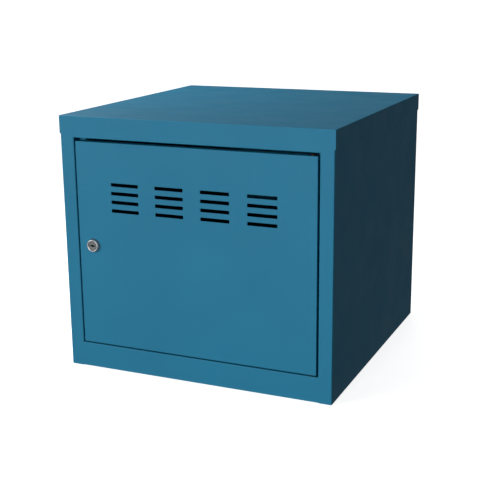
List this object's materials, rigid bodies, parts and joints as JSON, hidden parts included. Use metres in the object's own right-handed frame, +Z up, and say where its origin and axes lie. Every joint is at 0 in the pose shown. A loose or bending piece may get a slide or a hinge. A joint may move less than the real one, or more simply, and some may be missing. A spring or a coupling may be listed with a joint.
{
  "type": "locker cabinet",
  "caption": "Single-compartment steel locker cube with an inset ventilated door on pivot pins and a cam lock that turns a lever behind the frame.",
  "frame": {"origin": "on the floor, under the middle of the whole object's width and depth, lock included", "axes": "+Z up, +X to the right of someone facing the door, +Y from the door towards the back"},
  "size_m": [0.415, 0.4264, 0.376],
  "materials": {
    "paint": "satin petrol-blue powder coat",
    "chrome": "bright plated",
    "zinc": "zinc-plated steel",
    "nylon": "black nylon",
    "rubber": "matt black rubber"
  },
  "bodies": {
    "cabinet": {"top_cover": "paint", "left_side_panel": "paint", "right_side_panel": "paint", "bottom_panel": "paint", "back_panel": "paint", "back_rivet_left_1": "paint", "back_rivet_left_2": "paint", "back_rivet_left_3": "paint", "back_rivet_left_4": "paint", "back_rivet_right_1": "paint", "back_rivet_right_2": "paint", "back_rivet_right_3": "paint", "back_rivet_right_4": "paint", "back_rivet_bottom_1": "paint", "back_rivet_bottom_2": "paint", "back_rivet_bottom_3": "paint", "lower_hinge_pin": "zinc", "upper_hinge_pin": "zinc", "lower_door_bumper": "rubber", "upper_door_bumper": "rubber"},
    "door": {"door_panel": "paint", "door_stiffener": "paint", "lower_hinge_bush": "nylon", "upper_hinge_bush": "nylon", "lock_housing": "chrome", "lock_nut": "zinc"},
    "lock_cylinder": {"lock_plug": "chrome", "lock_lever": "zinc", "lever_washer": "zinc", "lever_screw": "zinc"}
  },
  "joints": [
    {"name": "door_hinge", "type": "hinge", "parent": "cabinet", "child": "door", "pos_m": [0.1757, -0.20275, 0.19], "axis": [0, 0, 1], "range_deg": [0, 110]},
    {"name": "lock_turn", "type": "hinge", "parent": "door", "child": "lock_cylinder", "pos_m": [-0.1591, -0.2, 0.1888], "axis": [0, 1, 0], "range_deg": [0, 90]}
  ]
}
